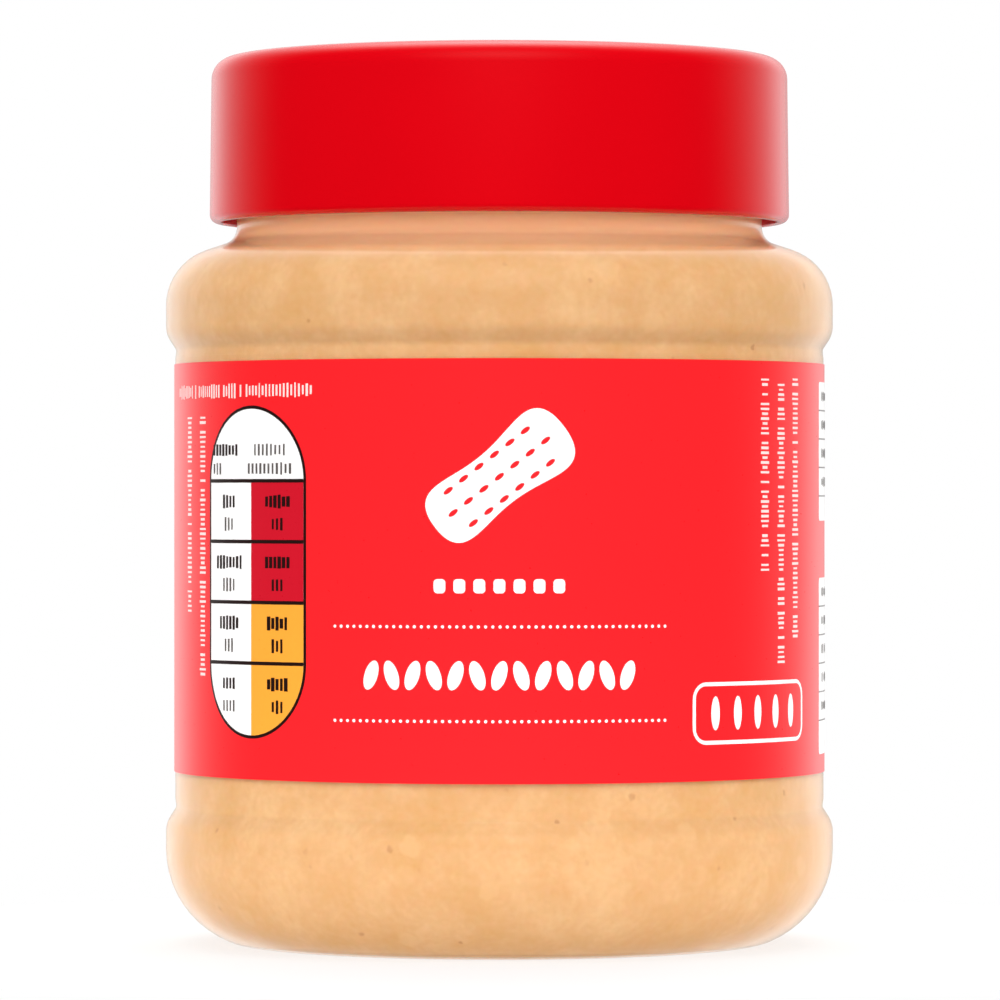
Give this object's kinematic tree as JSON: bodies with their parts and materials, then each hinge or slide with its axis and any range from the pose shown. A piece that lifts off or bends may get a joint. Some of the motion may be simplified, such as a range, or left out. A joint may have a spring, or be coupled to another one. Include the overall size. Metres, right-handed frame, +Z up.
{
  "type": "peanut butter jar",
  "caption": "Shut clear plastic jar of peanut butter with a red screw lid and a red label wrapped round its straight middle.",
  "frame": {"origin": "the jar's axis on the surface that it stands on, under the middle of its base", "axes": "+Z up along the jar's axis, -Y towards the camera and the label's front, +X to the right as seen from the camera"},
  "size_m": [0.0732, 0.0732, 0.0971],
  "materials": {
    "clear_plastic": "clear, smooth blown polyester",
    "peanut_butter": "food: tan nut paste with fine darker specks, slightly glossy",
    "red_lid_plastic": "smooth moulded polypropylene, satin gloss",
    "red_label_film": "printed plastic film, semi-gloss"
  },
  "bodies": {
    "root": {"jar": "clear_plastic", "peanut_butter": "peanut_butter", "lid": "red_lid_plastic", "label": "red_label_film"}
  },
  "joints": []
}
